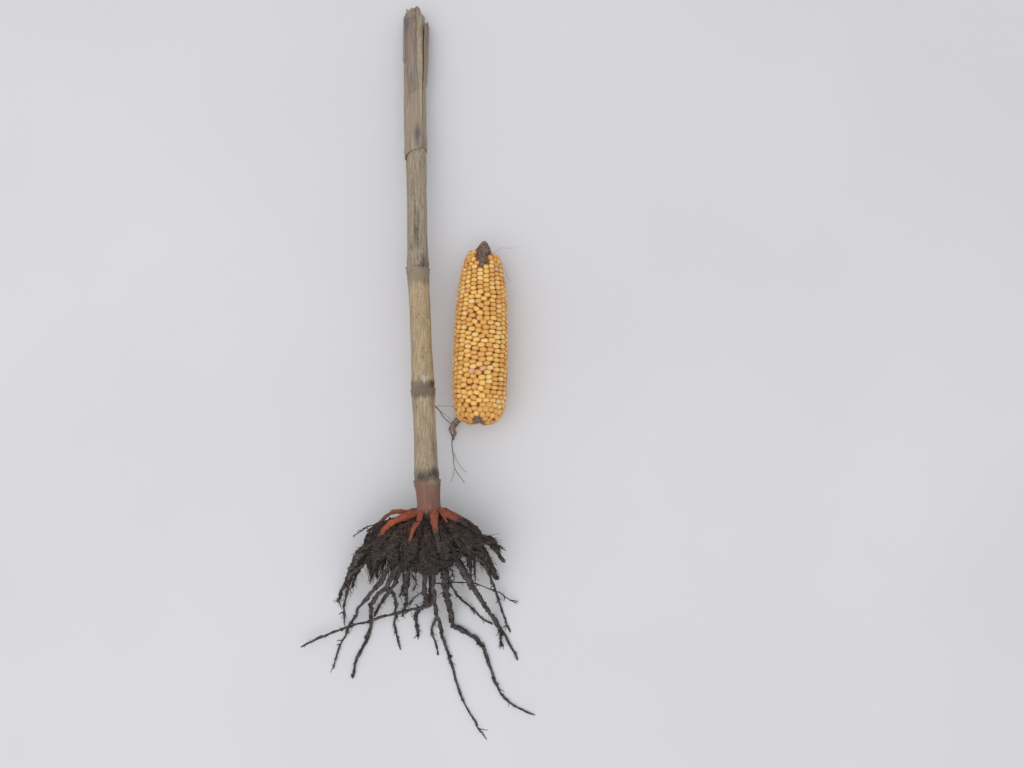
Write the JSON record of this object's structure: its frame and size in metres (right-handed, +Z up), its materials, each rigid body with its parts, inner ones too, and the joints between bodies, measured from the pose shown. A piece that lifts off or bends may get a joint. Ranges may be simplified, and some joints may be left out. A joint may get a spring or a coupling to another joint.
{
  "type": "maize plant",
  "caption": "Dry maize plant lifted with its roots: jointed stalk with leaf sheath, orange-marked brace roots, soil-filled root ball with trailing roots, and its ripe ear beside it.",
  "frame": {"origin": "on the ground, under the middle of the lying plant's box", "axes": "+Y along the stalk from the roots to its cut top, +Z up from the ground, +X to the side where the ear lies"},
  "size_m": [0.2204, 0.6964, 0.0859],
  "materials": {
    "stalk_rind": "dry tan rind with grey weathering streaks",
    "dry_sheath": "dry papery grey-brown leaf sheath",
    "painted_root": "roots sprayed with dull orange marking paint",
    "dark_root": "damp soil-stained root",
    "root_soil": "fine roots full of dark crumbly soil",
    "grain": "waxy golden kernels",
    "cob": "dry brown cob",
    "husk": "dark shrivelled husk and thread"
  },
  "bodies": {
    "root": {"brace_root_arch": "painted_root", "brace_root_centre": "painted_root", "brace_root_centre_left": "painted_root", "brace_root_left": "painted_root", "brace_root_right": "painted_root", "brace_root_right_shoulder": "painted_root", "brace_root_small": "painted_root", "brace_root_under": "painted_root", "brace_root_under_left": "painted_root", "brace_root_under_right": "painted_root", "cob_butt": "cob", "cob_tip": "cob", "ear": "grain", "husk_shred": "husk", "husk_thread": "husk", "leaf_sheath": "dry_sheath", "leaf_sheath_torn_layer": "dry_sheath", "long_root_crossing": "dark_root", "long_root_middle": "dark_root", "long_root_right_lower": "dark_root", "long_root_right_upper": "dark_root", "root_centre_left": "dark_root", "root_centre_thin": "dark_root", "root_hooked": "dark_root", "root_left_fork": "dark_root", "root_left_knobbly": "dark_root", "root_left_long": "dark_root", "root_left_outer": "dark_root", "root_left_short": "dark_root", "root_left_wavy": "dark_root", "root_mass_centre": "root_soil", "root_mass_core": "root_soil", "root_mass_left": "root_soil", "root_mass_left_inner": "root_soil", "root_mass_left_middle": "root_soil", "root_mass_left_outer": "root_soil", "root_mass_right": "root_soil", "root_mass_right_inner": "root_soil", "root_mass_right_outer": "root_soil", "root_mass_under_centre": "root_soil", "root_mass_under_left": "root_soil", "root_mass_under_right": "root_soil", "root_right_outer": "dark_root", "root_right_slim": "dark_root", "root_right_thick": "dark_root", "root_right_thin": "dark_root", "stalk": "stalk_rind"}
  },
  "joints": []
}
